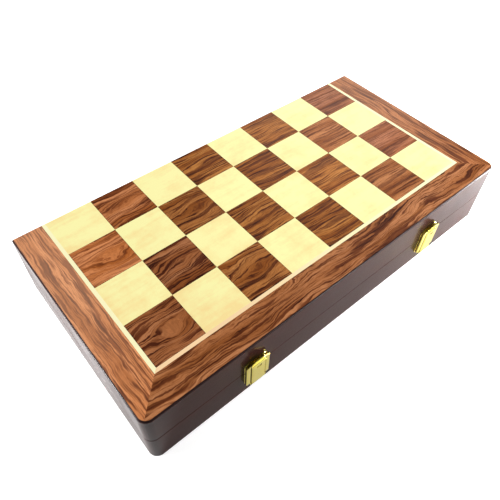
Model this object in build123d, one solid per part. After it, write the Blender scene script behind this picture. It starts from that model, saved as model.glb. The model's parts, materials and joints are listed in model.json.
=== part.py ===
"""A folding wooden chess box that shuts over its 32 men, with two brass hinges and two brass latches.

Millimetres, +Z up. X runs along the long side, the latches are at -Y and the hinges at +Y. The origin is the
middle of the underside of the shut box, on the table. Each half is drawn as the lower one and mirrored in the
parting plane for the upper one.
"""
from build123d import *
import math
import os

os.makedirs("parts", exist_ok=True)

# Board: half of the 64 squares on each half of the box
square = 32.0
files = 8
ranks = 4
inlay_width = 2.4
border_width = 19.6
veneer_thickness = 0.6

# Wooden shells
half_height = 25.0
wall = 8.0
panel_thickness = 3.0
corner_radius = 6.0
edge_round = 1.2
rim_chamfer = 0.4

# Butt hinges
hinge_spacing = 190.0
hinge_offset = 0.1
leaf_length = 20.0
leaf_width = 6.8
leaf_thickness = 1.0
knuckle_diameter = 3.4
middle_knuckle = 6.6
hinge_pin_diameter = 1.6
hinge_screw_spacing = 12.0
hinge_screw_head = 3.6
hinge_screw_neck = 1.8
hinge_screw_length = 9.0

# Snap latches
latch_spacing = 157.5
plate_width = 16.8
plate_thickness = 0.8
plate_corner = 3.0
catch_plate_height = 8.9
base_plate_height = 14.2
lever_width = 17.0
lever_below = 11.6
lever_above = 8.0
sheet = 0.7
strip_standoff = 2.9
panel_width = 9.9
panel_rise = 0.6
groove_width = 0.5
lip_radius = 6.0
lip_angle = 15.0
lip_flat = 3.4
lip_width = 6.0
lip_shoulder = 1.8
pivot_below = 13.0
latch_pivot_standoff = 2.0
latch_pin_diameter = 1.5
ear_radius = 1.1
slot_width = 3.6
slot_height = 2.2
slot_above = 4.5
nib_width = 2.8
nib_height = 1.4
latch_screw_spacing = 12.0
latch_screw_head = 2.6
latch_screw_neck = 1.3
latch_screw_length = 6.0
latch_screw_inset = 4.0

# Clearances
running_fit = 0.03
knuckle_gap = 0.15
turning_gap = 0.25
seat_gap = 0.1
latch_gap = 0.3
soft_gap = 0.3

# Trays
liner_floor = 0.8
end_margin = 4.0
man_pitch = 34.0
trough_margin = 3.0
trough_depth = 5.0

# Chessmen: the foot that they share, then height, foot, neck and head of each kind
turned_sides = 10
screw_sides = 6
base_height = 3.0
foot_height = 4.5
skirt_share = 0.72
tip_share = 0.35
king_height = 58.0
king_base = 20.0
king_neck = 6.6
king_head = 13.0
queen_height = 52.0
queen_base = 19.0
queen_neck = 6.2
queen_head = 12.4
bishop_height = 46.0
bishop_base = 17.0
bishop_neck = 5.4
bishop_head = 9.6
knight_height = 42.0
knight_base = 17.0
knight_head = 15.0
knight_thickness = 7.6
rook_height = 37.0
rook_base = 17.0
rook_neck = 8.0
rook_head = 12.4
pawn_height = 33.0
pawn_base = 15.0
pawn_neck = 4.6
pawn_head = 9.6

# Worked out from the sizes above
frame_width = inlay_width + border_width
box_length = files * square + 2 * frame_width
box_depth = ranks * square + frame_width
half_length = box_length / 2
half_depth = box_depth / 2
field_left = -half_length + frame_width
field_front = -half_depth + frame_width
slab = panel_thickness + veneer_thickness
knuckle_radius = knuckle_diameter / 2
hinge_y = half_depth + hinge_offset
leaf_middle_y = hinge_y - leaf_width + (leaf_width - knuckle_radius) / 2
hinge_screw_hole = (hinge_screw_head, hinge_screw_neck, hinge_screw_length)
pin_radius = latch_pin_diameter / 2
pivot_y = -half_depth - latch_pivot_standoff
panel_standoff = strip_standoff + panel_rise
lever_bottom = half_height - lever_below
lever_top = half_height + lever_above
slot_middle = half_height + slot_above
latch_pivot_height = half_height - pivot_below
axis_height = slab + liner_floor + soft_gap + king_base / 2
liner_half_length = half_length - wall - soft_gap
liner_half_depth = half_depth - wall - soft_gap
men_base_y = liner_half_depth - end_margin - soft_gap


def block(x0, x1, y0, y1, z0, z1):
    """A box between two corners."""
    return Pos((x0 + x1) / 2, (y0 + y1) / 2, (z0 + z1) / 2) * Box(x1 - x0, y1 - y0, z1 - z0)


def rod(radius, x0, x1, y, z):
    """A round bar along X."""
    return Pos((x0 + x1) / 2, y, z) * Rot(0, 90, 0) * Cylinder(radius, x1 - x0)


def plan_prism(points, z0, z1):
    """An outline seen from above, raised from z0 to z1."""
    return Pos(0, 0, z0) * extrude(make_face(Polyline(*points, close=True)), z1 - z0)


def side_prism(points, x0, x1):
    """An outline of (y, z) points seen from the side, drawn out along X from x0 to x1."""
    outline = Plane.YZ * make_face(Polyline(*points, close=True))
    return Pos(x0, 0, 0) * extrude(outline, x1 - x0, dir=(1, 0, 0))


def to_upper(shape):
    """The mirror image in the parting plane."""
    return mirror(shape, about=Plane.XY.offset(half_height))


def group(solids):
    """Separate solids kept in one node."""
    return Compound(children=[solid for shape in solids for solid in shape.solids()])


def save(name, shape):
    export_step(shape, f"parts/{name}.step")


def box_outline():
    """The plan of the box: round corners at the front, square ones at the hinges."""
    outline = Rectangle(box_length, box_depth)
    return fillet(outline.vertices().group_by(Axis.Y)[0], corner_radius)


def outer_edges(shape, z):
    """The edges of the front and the two ends at one height, without the hinge side."""
    level = shape.edges().filter_by_position(Axis.Z, z - 0.01, z + 0.01)
    return [
        edge
        for edge in level
        if edge.center().Y < half_depth - 0.01
        and (abs(edge.center().X) > half_length - corner_radius or edge.center().Y < -half_depth + corner_radius)
    ]


def outer_slab():
    """Panel and veneer as one sheet with its eased edge, at the underside of the lower half."""
    sheet_stack = extrude(box_outline(), slab)
    return fillet(outer_edges(sheet_stack, 0), edge_round)


def border_strips(stack):
    """The veneer strips round the squares, mitred at the two front corners, and the pale line inside them."""
    veneer = stack & block(-half_length, half_length, -half_depth, half_depth, 0, veneer_thickness)
    strips = {}
    for kind, outer, width in (("border", 0, border_width), ("line", border_width, inlay_width)):
        inner = outer + width
        left, left_in = -half_length + outer, -half_length + inner
        front, front_in = -half_depth + outer, -half_depth + inner
        outlines = {
            "front": [(left, front), (-left, front), (-left_in, front_in), (left_in, front_in)],
            "left": [(left, front), (left_in, front_in), (left_in, half_depth), (left, half_depth)],
            "right": [(-left, front), (-left, half_depth), (-left_in, half_depth), (-left_in, front_in)],
        }
        for side, outline in outlines.items():
            strips[kind, side] = veneer & plan_prism(outline, 0, veneer_thickness)
    return strips


def squares(parity):
    """The squares of one colour. The corner square at the front left has parity 0."""
    tiles = []
    for file in range(files):
        for rank in range(ranks):
            if (file + rank) % 2 == parity:
                x = field_left + file * square
                y = field_front + rank * square
                tiles.append(block(x, x + square, y, y + square, 0, veneer_thickness))
    return group(tiles)


def wall_ring():
    """The four walls as one frame, with the outer edge of the rim eased and the hinges let in."""
    hollow = Rectangle(box_length - 2 * wall, box_depth - 2 * wall)
    ring = Pos(0, 0, slab) * extrude(box_outline() - hollow, half_height - slab)
    ring = chamfer(outer_edges(ring, half_height), rim_chamfer)
    for x in (-hinge_spacing / 2, hinge_spacing / 2):
        reach = leaf_length / 2 + seat_gap
        ring -= block(
            x - reach,
            x + reach,
            hinge_y - leaf_width - seat_gap,
            half_depth,
            half_height - leaf_thickness,
            half_height,
        )
        ring -= rod(knuckle_radius + turning_gap, x - reach, x + reach, hinge_y, half_height)
        for hole in (-hinge_screw_spacing / 2, hinge_screw_spacing / 2):
            ring -= screw(hinge_screw_hole, x + hole, leaf_middle_y, half_height)
    for x in (-latch_spacing / 2, latch_spacing / 2):
        for hole in (-latch_screw_spacing / 2, latch_screw_spacing / 2):
            ring -= plate_screw(x + hole, half_height - latch_screw_inset)
    return ring


def mitred_walls(ring):
    """The frame cut at its 45 degree corner joints into four walls."""
    middle = half_depth
    wedges = {
        "front": [(-half_length, -half_depth), (half_length, -half_depth), (half_length - middle, 0),
                  (-half_length + middle, 0)],
        "rear": [(-half_length, half_depth), (-half_length + middle, 0), (half_length - middle, 0),
                 (half_length, half_depth)],
        "left": [(-half_length, -half_depth), (-half_length + middle, 0), (-half_length, half_depth)],
        "right": [(half_length, -half_depth), (half_length, half_depth), (half_length - middle, 0)],
    }
    return {side: ring & plan_prism(outline, 0, half_height) for side, outline in wedges.items()}


def screw(sizes, x, y, z):
    """A countersunk wood screw pointing down, its flat head level with z."""
    head, neck, length = sizes
    taper = (head - neck) / 2
    return Pos(x, y, z) * turned([(neck / 4, -length), (neck / 2, -taper), (head / 2, 0)], screw_sides)


def plate_screw(x, z):
    """A latch screw through its plate into the front wall, its head level with the plate's face."""
    sizes = (latch_screw_head, latch_screw_neck, latch_screw_length)
    return Pos(x, -half_depth - plate_thickness, z) * Rot(-90, 0, 0) * Rot(180, 0, 0) * screw(sizes, 0, 0, 0)


def hinge_leaf(x, knuckles, opposite):
    """One leaf in the lower rim, rolled into its knuckles and cut clear of the other leaf's."""
    reach = leaf_length / 2
    leaf = block(x - reach, x + reach, hinge_y - leaf_width, hinge_y, half_height - leaf_thickness, half_height)
    for start, end in knuckles:
        leaf += rod(knuckle_radius, x + start, x + end, hinge_y, half_height)
    for start, end in opposite:
        leaf -= rod(knuckle_radius + turning_gap, x + start, x + end, hinge_y, half_height)
    leaf -= rod(hinge_pin_diameter / 2 + running_fit, x - reach, x + reach, hinge_y, half_height)
    for hole in (-hinge_screw_spacing / 2, hinge_screw_spacing / 2):
        leaf -= screw(hinge_screw_hole, x + hole, leaf_middle_y, half_height)
    return leaf


def hinge(x):
    """Lower leaf with the two outer knuckles, upper leaf with the middle one, and the pin."""
    reach = leaf_length / 2
    inner = middle_knuckle / 2
    outer_knuckles = [(-reach, -inner - knuckle_gap), (inner + knuckle_gap, reach)]
    middle = [(-inner, inner)]
    outer_space = [(-reach, -inner), (inner, reach)]
    middle_space = [(-inner - knuckle_gap, inner + knuckle_gap)]
    lower = hinge_leaf(x, outer_knuckles, middle_space)
    upper = to_upper(hinge_leaf(x, middle, outer_space))
    pin = rod(hinge_pin_diameter / 2, x - reach, x + reach, hinge_y, half_height)
    return lower, upper, pin


def hinge_screws():
    places = [x + hole for x in (-hinge_spacing / 2, hinge_spacing / 2)
              for hole in (-hinge_screw_spacing / 2, hinge_screw_spacing / 2)]
    return group([screw(hinge_screw_hole, x, leaf_middle_y, half_height) for x in places])


def latch_screws():
    places = [x + hole for x in (-latch_spacing / 2, latch_spacing / 2)
              for hole in (-latch_screw_spacing / 2, latch_screw_spacing / 2)]
    return group([plate_screw(x, half_height - latch_screw_inset) for x in places])


def latch_plate(height):
    """A flat plate below the parting plane on the front wall, its two far corners rounded."""
    outline = Rectangle(plate_width, height)
    outline = fillet(outline.vertices().group_by(Axis.Y)[0], plate_corner)
    plate = Plane.XZ * extrude(outline, plate_thickness)
    plate = Pos(0, -half_depth, half_height - latch_gap - height / 2) * plate
    for hole in (-latch_screw_spacing / 2, latch_screw_spacing / 2):
        plate -= plate_screw(hole, half_height - latch_screw_inset)
    return plate


def latch_base():
    """The lower plate, notched at the bottom for the lever's knuckle, with an ear each side to hold the pin."""
    base = latch_plate(base_plate_height)
    notch = panel_width / 2 + latch_gap
    notch_top = latch_pivot_height + pin_radius + sheet + latch_gap
    base -= block(-notch, notch, -half_depth - plate_thickness, -half_depth, 0, notch_top)
    bottom = half_height - latch_gap - base_plate_height
    for side in (-1, 1):
        start, end = sorted((side * notch, side * (notch + sheet)))
        face = -half_depth - plate_thickness
        corner = ear_radius * math.tan(math.pi / 8)
        ear = [
            (face, bottom + plate_corner / 2),
            (pivot_y - corner, latch_pivot_height - ear_radius),
            (pivot_y - ear_radius, latch_pivot_height - corner),
            (pivot_y - ear_radius, latch_pivot_height + corner),
            (pivot_y - corner, latch_pivot_height + ear_radius),
            (face, latch_pivot_height + 2 * ear_radius),
        ]
        base += side_prism(ear, start, end)
    reach = notch + sheet
    return base - rod(pin_radius + running_fit / 2, -reach, reach, pivot_y, latch_pivot_height)


def latch_catch():
    """The upper plate with the hooked nib that the lever snaps over."""
    plate = to_upper(latch_plate(catch_plate_height))
    face = -half_depth - plate_thickness
    tip = -half_depth - panel_standoff + seat_gap
    low, high = slot_middle - nib_height / 2, slot_middle + nib_height / 2
    nib = side_prism([(face, low), (tip + sheet, low), (tip, high - sheet / 2), (tip, high), (face, high)],
                     -nib_width / 2, nib_width / 2)
    return plate + nib


def latch_lever():
    """A stamped cap: side flanges, two strips, a raised middle panel that curls round the pin, and the lip."""
    half_width = lever_width / 2
    half_panel = panel_width / 2
    back = plate_thickness + latch_gap
    outer = [(half_width, back), (half_width, strip_standoff), (half_panel + groove_width, strip_standoff),
             (half_panel, panel_standoff)]
    inner = [(half_width - sheet, back), (half_width - sheet, strip_standoff - sheet),
             (half_panel + groove_width - sheet / 2, strip_standoff - sheet),
             (half_panel - sheet / 2, panel_standoff - sheet)]
    ring = outer + [(-x, s) for x, s in reversed(outer)] + [(-x, s) for x, s in inner] + list(reversed(inner))
    section = [(x, -half_depth - s) for x, s in ring]
    lever = plan_prism(section, lever_bottom, lever_top)
    lever += block(-half_width, half_width, -half_depth - strip_standoff, -half_depth - strip_standoff + sheet,
                   lever_top - 2 * sheet, lever_top)
    lever += tongue(half_panel) + lip(half_width)
    slot_y = -half_depth - panel_standoff
    lever -= block(-slot_width / 2, slot_width / 2, slot_y, slot_y + 2 * sheet,
                   slot_middle - slot_height / 2, slot_middle + slot_height / 2)
    return lever


def tongue(half_panel):
    """The middle panel's lower end and the knuckle that it is rolled into round the pin."""
    front = -half_depth - panel_standoff
    curl = rod(panel_standoff - latch_pivot_standoff, -half_panel, half_panel, pivot_y, latch_pivot_height)
    curl += block(-half_panel, half_panel, front, front + sheet, latch_pivot_height, lever_bottom)
    return curl - rod(pin_radius + 2 * running_fit, -half_panel, half_panel, pivot_y, latch_pivot_height)


def lip(half_width):
    """The sheet above the face, curled outward and cut in to a narrow beak by two sloping shoulders."""
    face = -half_depth - strip_standoff
    centre = (face - lip_radius, lever_top)
    turn = math.radians(lip_angle)

    def at(radius, along):
        y = centre[0] + radius * math.cos(turn) - along * math.sin(turn)
        z = centre[1] + radius * math.sin(turn) + along * math.cos(turn)
        return (y, z)

    def start(radius):
        return (centre[0] + radius, centre[1])

    def middle(radius):
        return (centre[0] + radius * math.cos(turn / 2), centre[1] + radius * math.sin(turn / 2))

    near, far = lip_radius, lip_radius + sheet
    edges = [
        ThreePointArc(start(near), middle(near), at(near, 0)),
        Polyline(at(near, 0), at(near, lip_flat), at(far, lip_flat), at(far, 0)),
        ThreePointArc(at(far, 0), middle(far), start(far)),
        Line(start(far), start(near)),
    ]
    curl = Pos(-half_width, 0, 0) * extrude(Plane.YZ * make_face(edges), 2 * half_width, dir=(1, 0, 0))
    tip_z = at(far, lip_flat)[1]
    shoulder = [(-half_width, lever_top), (half_width, lever_top), (lip_width / 2, tip_z - lip_shoulder),
                (lip_width / 2, tip_z), (-lip_width / 2, tip_z), (-lip_width / 2, tip_z - lip_shoulder)]
    front_view = Plane.XZ * make_face(Polyline(*shoulder, close=True))
    reach = half_depth + 2 * (strip_standoff + lip_radius + lip_flat)
    return curl & extrude(front_view, reach, dir=(0, -1, 0))


def turned(points, sides=turned_sides):
    """A turned piece on the Z axis, from (radius, height) rings. Few flat sides keep 32 men and 16 screws light."""
    turns = [2 * math.pi * side / sides for side in range(sides)]
    rings = [[(radius * math.cos(turn), radius * math.sin(turn), height) for turn in turns]
             for radius, height in points]
    faces = [flat(rings[0]), flat(rings[-1])]
    for low, high in zip(rings, rings[1:]):
        for side in range(sides):
            faces.append(flat([low[side - 1], low[side], high[side], high[side - 1]]))
    return Solid(Shell(faces))


def flat(points):
    """A flat face with straight edges."""
    return Face(Wire.make_polygon(points, close=True))


def stem(base, neck, neck_height):
    """Outline of the round foot and the waist that every turned man has."""
    return [(base / 2, 0), (base / 2, base_height), (skirt_share * base / 2, foot_height), (neck / 2, neck_height)]


def pawn():
    ball = pawn_head / 2
    middle = pawn_height - ball
    return turned(stem(pawn_base, pawn_neck, middle - ball * 0.9)
                  + [(ball, middle), (ball * tip_share, pawn_height)])


def rook():
    crown = rook_head / 2
    deck = rook_height - rook_head / 2
    body = turned(stem(rook_base, rook_neck, deck - crown / 3) + [(crown, deck), (crown, rook_height)])
    slot = rook_head / 6
    depth = rook_head / 4
    for angle in (0, 90):
        body -= Pos(0, 0, rook_height - depth / 2) * Rot(0, 0, angle) * Box(rook_head, slot, depth)
    return body


def bishop():
    mitre = bishop_head / 2
    shoulder = bishop_height - 2.9 * mitre
    body = turned(stem(bishop_base, bishop_neck, shoulder)
                  + [(mitre, shoulder + mitre * 0.9), (mitre * 0.25, bishop_height)])
    cut = Pos(mitre, 0, shoulder + 1.7 * mitre) * Rot(0, -35, 0) * Box(bishop_head, bishop_head, 0.9)
    return body - cut


def queen():
    crown = queen_head / 2
    rim = queen_height - crown
    return turned(stem(queen_base, queen_neck, rim - 1.7 * crown)
                  + [(crown, rim), (crown * tip_share, rim + crown * 0.3), (crown * tip_share, queen_height)])


def king():
    crown = king_head / 2
    cross = king_head * 0.55
    rim = king_height - cross - crown * 0.4
    body = turned(stem(king_base, king_neck, rim - 1.9 * crown)
                  + [(crown, rim), (crown * tip_share, king_height - cross)])
    arm = cross / 3
    middle = king_height - cross / 2
    body += Pos(0, 0, middle - arm / 4) * Box(arm, arm, cross + arm / 2)
    return body + Pos(0, 0, middle + arm / 4) * Box(cross, arm, arm)


def knight():
    """A round foot that carries a horse's head and neck cut from flat stock."""
    foot = turned([(knight_base / 2, 0), (knight_base / 2, base_height), (skirt_share * knight_base / 2, foot_height)])
    low = base_height
    tall = knight_height - low
    wide = knight_head / 2
    profile = [
        (-0.72 * wide, low),
        (0.78 * wide, low),
        (0.95 * wide, low + 0.38 * tall),
        (0.80 * wide, low + 0.70 * tall),
        (0.28 * wide, low + 0.90 * tall),
        (0.06 * wide, low + tall),
        (-0.14 * wide, low + 0.89 * tall),
        (-0.55 * wide, low + 0.80 * tall),
        (-wide, low + 0.58 * tall),
        (-0.86 * wide, low + 0.46 * tall),
        (-0.30 * wide, low + 0.52 * tall),
        (-0.02 * wide, low + 0.42 * tall),
        (-0.50 * wide, low + 0.22 * tall),
    ]
    face = Plane.XZ * make_face(Polyline(*profile, close=True))
    return foot + Pos(0, knight_thickness / 2, 0) * extrude(face, knight_thickness, dir=(0, -1, 0))


back_rank = ["rook", "knight", "bishop", "queen", "king", "bishop", "knight", "rook"]
makers = {"king": king, "queen": queen, "bishop": bishop, "knight": knight, "rook": rook, "pawn": pawn}
heights = {"king": king_height, "queen": queen_height, "bishop": bishop_height, "knight": knight_height,
           "rook": rook_height, "pawn": pawn_height}
bases = {"king": king_base, "queen": queen_base, "bishop": bishop_base, "knight": knight_base,
         "rook": rook_base, "pawn": pawn_base}
widths = {"king": king_head, "queen": queen_head, "bishop": bishop_head, "knight": knight_head,
          "rook": rook_head, "pawn": pawn_head}


def file_x(place):
    """The middle of one of the eight pockets of a row."""
    return (place - (files - 1) / 2) * man_pitch


def laid_men():
    """The men of one tray by kind: officers with their feet to the hinges, pawns with theirs to the latches."""
    men = {}
    for place, kind in enumerate(back_rank):
        man = Pos(file_x(place), men_base_y, axis_height) * Rot(90, 0, 0) * makers[kind]()
        men.setdefault(kind, []).append(man)
    men["pawn"] = [Pos(file_x(place), -men_base_y, axis_height) * Rot(-90, 0, 0) * pawn() for place in range(files)]
    return men


def pocket(x, kind, facing):
    """The room for one man lying on its side: a deep slot for the foot, a shallower one for the rest."""
    foot_half = bases[kind] / 2 + soft_gap
    body_half = widths[kind] / 2 + soft_gap
    stem_half = max(body_half, skirt_share * bases[kind] / 2 + soft_gap)
    start = -facing * (men_base_y + soft_gap)
    foot_end = -facing * (men_base_y - foot_height - soft_gap)
    end = -facing * (men_base_y - heights[kind] - soft_gap)
    deep = min(start, foot_end), max(start, foot_end)
    long = min(start, end), max(start, end)
    room = block(x - foot_half, x + foot_half, *deep, axis_height - foot_half, axis_height)
    return room + block(x - stem_half, x + stem_half, *long, axis_height - stem_half, axis_height)


def liner():
    """The foam that fills the lower half of a tray, with a pocket for each man and a finger trough between rows."""
    foam = block(-liner_half_length, liner_half_length, -liner_half_depth, liner_half_depth, slab, axis_height)
    for place, kind in enumerate(back_rank):
        foam -= pocket(file_x(place), kind, -1)
        foam -= pocket(file_x(place), "pawn", 1)
    front = -men_base_y + pawn_height + trough_margin
    rear = men_base_y - king_height - trough_margin
    reach = file_x(files - 1) + pawn_base / 2
    return foam - block(-reach, reach, front, rear, axis_height - trough_depth, axis_height)


def save_half(name, place, parity):
    """One half of the wooden box with its squares. The two halves take opposite parities, so that the opened
    box shows one board."""
    stack = outer_slab()
    panel = stack & block(-half_length, half_length, -half_depth, half_depth, veneer_thickness, slab)
    save(f"{name}_panel", place(panel))
    for side, shape in mitred_walls(wall_ring()).items():
        save(f"{name}_{side}_wall", place(shape))
    strips = border_strips(stack)
    for side in ("front", "left", "right"):
        save(f"{name}_{side}_border", place(strips["border", side]))
    save(f"{name}_inlay_line", place(group([strips["line", side] for side in ("front", "left", "right")])))
    save(f"{name}_dark_squares", place(squares(parity)))
    save(f"{name}_light_squares", place(squares(1 - parity)))
    save(f"{name}_liner", place(liner()))


def save_men(colour, place):
    for kind, men in laid_men().items():
        name = kind if len(men) == 1 else f"{kind}s"
        save(f"{colour}_{name}", place(group(men)))


def stay(shape):
    return shape


save_half("lower", stay, 1)
save_half("upper", to_upper, 0)
save_men("light", stay)
save_men("dark", to_upper)

for side, x in (("left", -hinge_spacing / 2), ("right", hinge_spacing / 2)):
    lower_leaf, upper_leaf, hinge_pin = hinge(x)
    save(f"{side}_hinge_lower_leaf", lower_leaf)
    save(f"{side}_hinge_upper_leaf", upper_leaf)
    save(f"{side}_hinge_pin", hinge_pin)
save("hinge_screws_lower", hinge_screws())
save("hinge_screws_upper", to_upper(hinge_screws()))

for side, x in (("left", -latch_spacing / 2), ("right", latch_spacing / 2)):
    pin_reach = panel_width / 2 + latch_gap + sheet
    save(f"{side}_latch_base", Pos(x, 0, 0) * latch_base())
    save(f"{side}_latch_catch", Pos(x, 0, 0) * latch_catch())
    save(f"{side}_latch_lever", Pos(x, 0, 0) * latch_lever())
    save(f"{side}_latch_pin", rod(pin_radius, x - pin_reach, x + pin_reach, pivot_y, latch_pivot_height))
save("latch_screws_lower", latch_screws())
save("latch_screws_upper", to_upper(latch_screws()))
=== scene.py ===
"""Folding chess box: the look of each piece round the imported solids, in metres, in the frame of the CAD."""
import json
import math

import bpy
import numpy as np
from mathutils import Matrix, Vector

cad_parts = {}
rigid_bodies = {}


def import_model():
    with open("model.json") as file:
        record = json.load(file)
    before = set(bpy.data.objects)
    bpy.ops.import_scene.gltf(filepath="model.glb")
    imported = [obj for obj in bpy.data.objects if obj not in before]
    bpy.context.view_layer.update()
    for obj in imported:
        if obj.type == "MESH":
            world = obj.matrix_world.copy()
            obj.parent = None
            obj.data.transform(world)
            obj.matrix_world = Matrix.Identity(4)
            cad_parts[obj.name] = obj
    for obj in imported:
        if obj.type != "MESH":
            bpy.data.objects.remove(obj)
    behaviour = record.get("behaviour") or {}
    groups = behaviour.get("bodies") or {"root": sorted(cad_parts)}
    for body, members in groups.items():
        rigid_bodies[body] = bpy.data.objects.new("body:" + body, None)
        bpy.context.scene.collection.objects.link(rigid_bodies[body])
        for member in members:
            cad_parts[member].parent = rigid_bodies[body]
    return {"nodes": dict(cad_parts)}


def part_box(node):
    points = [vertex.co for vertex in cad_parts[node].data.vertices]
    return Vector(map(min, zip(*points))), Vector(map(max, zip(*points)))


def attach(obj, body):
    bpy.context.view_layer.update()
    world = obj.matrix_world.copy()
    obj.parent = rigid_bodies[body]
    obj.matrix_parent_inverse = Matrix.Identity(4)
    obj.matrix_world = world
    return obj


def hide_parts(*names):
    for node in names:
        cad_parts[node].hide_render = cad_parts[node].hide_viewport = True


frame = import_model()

for start_up_object in [o for o in bpy.data.objects if o.name in ("Cube", "Light", "Camera")]:
    bpy.data.objects.remove(start_up_object)
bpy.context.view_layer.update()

MM = 0.001
scene = bpy.context.scene
nodes = frame["nodes"]

# Sizes of the board and the box in metres, read off the frame where it has them
panel_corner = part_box("lower_panel")[1]
HALF_LENGTH = panel_corner.x
HALF_DEPTH = panel_corner.y
HALF_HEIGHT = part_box("lower_front_wall")[1].z
SQUARE = 32 * MM
FIELD_LEFT = -4 * SQUARE
FIELD_FRONT = HALF_DEPTH - 4 * SQUARE
CORNER_RADIUS = 6 * MM

# Sizes in millimetres that both a material and a shape use
LATCH_MIDDLE = 78.75
PITCH = 34.0


# Node trees

class Tree:
    """Adds nodes to one node tree. Each call returns the socket that it puts out."""

    def __init__(self, tree):
        self.tree = tree

    def put(self, kind, feeds=(), **settings):
        """A node of one kind with its settings and what feeds its inputs."""
        node = self.tree.nodes.new(kind)
        for name, value in settings.items():
            setattr(node, name, value)
        for key, value in dict(feeds).items():
            self.feed(node.inputs[key], value)
        return node

    def feed(self, socket, value):
        if isinstance(value, bpy.types.NodeSocket):
            self.tree.links.new(value, socket)
        else:
            socket.default_value = value

    def math(self, operation, *values):
        return self.put("ShaderNodeMath", enumerate(values), operation=operation).outputs[0]

    def add(self, first, second):
        return self.math("ADD", first, second)

    def less(self, value, taken_off):
        return self.math("SUBTRACT", value, taken_off)

    def times(self, first, second):
        return self.math("MULTIPLY", first, second)

    def split(self, vector):
        return self.put("ShaderNodeSeparateXYZ", {0: vector}).outputs

    def join(self, x, y, z):
        return self.put("ShaderNodeCombineXYZ", {0: x, 1: y, 2: z}).outputs[0]

    def step(self, value, low, high, to_low=0.0, to_high=1.0):
        """A smooth step of value from low to high."""
        feeds = {0: value, 1: low, 2: high, 3: to_low, 4: to_high}
        return self.put("ShaderNodeMapRange", feeds, interpolation_type="SMOOTHSTEP").outputs[0]

    def noise(self, vector, scale, detail=2.0, roughness=0.5):
        feeds = {"Vector": vector, "Scale": scale, "Detail": detail, "Roughness": roughness}
        return self.put("ShaderNodeTexNoise", feeds).outputs[0]

    def mix(self, factor, first, second, mode="MIX"):
        """Two colours mixed."""
        node = self.put("ShaderNodeMix", data_type="RGBA", blend_type=mode)
        for key, value in ((0, factor), (6, first), (7, second)):
            self.feed(node.inputs[key], value)
        return node.outputs[2]

    def shaded(self, colour, shade, blue=None):
        """A colour multiplied by a shade, its blue by another one if that is given."""
        return self.mix(1.0, colour, self.join(shade, shade, shade if blue is None else blue), "MULTIPLY")

    def ramp(self, value, stops):
        """A colour ramp with (place, colour) stops."""
        node = self.put("ShaderNodeValToRGB", {0: value})
        ramp = node.color_ramp
        while len(ramp.elements) < len(stops):
            ramp.elements.new(1.0)
        for element, (place, colour) in zip(ramp.elements, stops):
            element.position = place
            element.color = (*colour, 1.0)
        return node.outputs[0]

    def use(self, group, **feeds):
        """A shared effect, placed with its own values."""
        return self.put("ShaderNodeGroup", feeds, node_tree=group).outputs


def emptied(owner):
    """The node tree of a material or a world with nothing in it."""
    owner.use_nodes = True
    owner.node_tree.nodes.clear()
    return Tree(owner.node_tree)


def effect(name, outputs, build, **values):
    """A shader node group with a Vector and some values as its inputs. build(tree, inputs) returns its output
    sockets in order."""
    group = bpy.data.node_groups.new(name, "ShaderNodeTree")
    group.interface.new_socket("Vector", in_out="INPUT", socket_type="NodeSocketVector")
    for key, value in values.items():
        socket = group.interface.new_socket(key, in_out="INPUT", socket_type="NodeSocketFloat")
        socket.default_value = value
    for key in outputs:
        group.interface.new_socket(key, in_out="OUTPUT", socket_type="NodeSocketFloat")
    tree = Tree(group)
    source = tree.put("NodeGroupInput").outputs
    target = tree.put("NodeGroupOutput").inputs
    for number, socket in enumerate(build(tree, source)):
        tree.feed(target[number], socket)
    return group


EYE_PLACE = 4.0
EYE_LENGTH = 10.0
EYE_HEIGHT = 6.0


def veneer_figure(tree, given):
    """Figure of sliced wood. The grain runs along X of the given vector, in millimetres, and Z tells leaves
    apart. The growth lines are level lines of the place across the grain, bent by slow noise. Round an eye
    that place is multiplied by one less a share of exp(-(u / w) squared - (v / h) squared), which spreads
    the lines inside the eye and crowds them round it. Every output is noise drawn out with the grain:
    Streak wide dark bands, Line narrow ones, Fine and Fibre the pores, Tone the slow change of colour."""
    x, y, z = tree.split(given["Vector"])

    def drawn_out(along, across, detail, roughness=0.5, shift=0.0, level=y):
        place = tree.join(tree.times(x, along), tree.times(level, across), tree.add(z, shift))
        return tree.noise(place, 1.0, detail, roughness)

    def swing(value, amount):
        return tree.times(tree.less(value, 0.5), amount)

    wave = swing(drawn_out(0.022, 0.055, 1.0), given["Warp"])
    wobble = swing(drawn_out(0.10, 0.20, 2.0, 0.6, 5.0), tree.times(given["Warp"], 0.22))
    bent = tree.add(tree.add(y, wave), wobble)
    u = tree.math("DIVIDE", tree.less(x, EYE_PLACE), EYE_LENGTH)
    v = tree.math("DIVIDE", bent, EYE_HEIGHT)
    reach = tree.add(tree.times(u, u), tree.times(v, v))
    calm = tree.times(tree.math("EXPONENT", tree.times(reach, -1.0)), given["Eye"])
    spread = tree.less(1.0, calm)
    level = tree.times(bent, spread)
    tone = drawn_out(0.008, 0.17, 2.0, 0.6, 11.0, level)
    band = drawn_out(0.016, given["Pitch"], 2.0, 0.65, 23.0, level)
    patch = drawn_out(0.045, 0.10, 1.0, 0.5, 31.0)
    streak = tree.times(tree.step(tree.add(band, swing(patch, 0.25)), 0.525, 0.605), spread)
    narrow = drawn_out(0.030, tree.times(given["Pitch"], 3.2), 2.0, 0.6, 37.0, level)
    line = tree.step(tree.add(narrow, swing(patch, -0.20)), 0.51, 0.62)
    fine = drawn_out(0.09, 1.9, 3.0, 0.7, 43.0, level)
    fibre = drawn_out(0.5, 7.0, 2.0, 0.7, 59.0, level)
    return [streak, line, tone, fine, fibre]


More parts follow.
